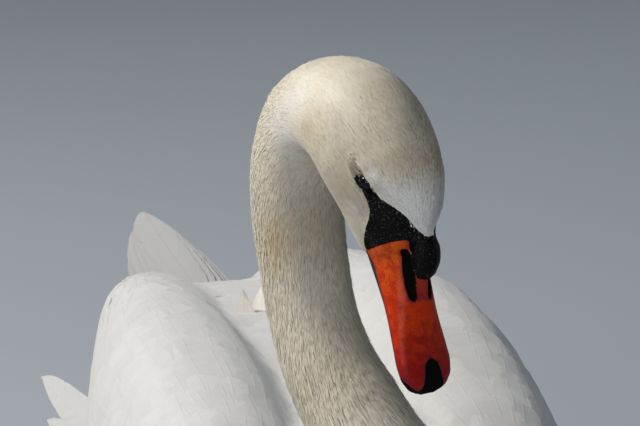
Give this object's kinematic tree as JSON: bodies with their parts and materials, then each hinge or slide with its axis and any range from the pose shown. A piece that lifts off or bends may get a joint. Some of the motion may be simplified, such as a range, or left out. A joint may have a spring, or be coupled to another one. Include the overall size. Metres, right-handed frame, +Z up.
{
  "type": "mute swan",
  "caption": "Life-size still model of a mute swan sitting on its belly, wings half raised, neck arched and the orange bill pointing down.",
  "frame": {"origin": "middle of the flat under the belly, on the floor", "axes": "+Z up, -Y the way the swan's body faces, +X to the swan's own left"},
  "size_m": [0.314, 0.8953, 0.5878],
  "materials": {
    "body_plumage": "white contour feathers, matt, soft and layered",
    "head_plumage": "short cream-stained head and neck feathers, matt and hair-like",
    "bill_horn": "orange to red horn with a soft gloss and fine pits",
    "bare_black": "black bare skin and horn, finely wrinkled, half gloss",
    "foot_skin": "grey-black scaled skin, dull",
    "eye": "dark brown, wet and glossy"
  },
  "bodies": {
    "root": {"trunk": "body_plumage", "neck_lower": "head_plumage", "neck_middle": "head_plumage", "neck_upper": "head_plumage", "head": "head_plumage", "bill_upper": "bill_horn", "bill_lower": "bare_black", "bill_knob": "bare_black", "bill_nail": "bare_black", "eye_right": "eye", "eye_left": "eye", "tail": "body_plumage", "wing_right": "body_plumage", "wing_left": "body_plumage", "primaries_right": "body_plumage", "primaries_left": "body_plumage", "leg_right": "foot_skin", "leg_left": "foot_skin", "foot_right": "foot_skin", "foot_left": "foot_skin"}
  },
  "joints": []
}
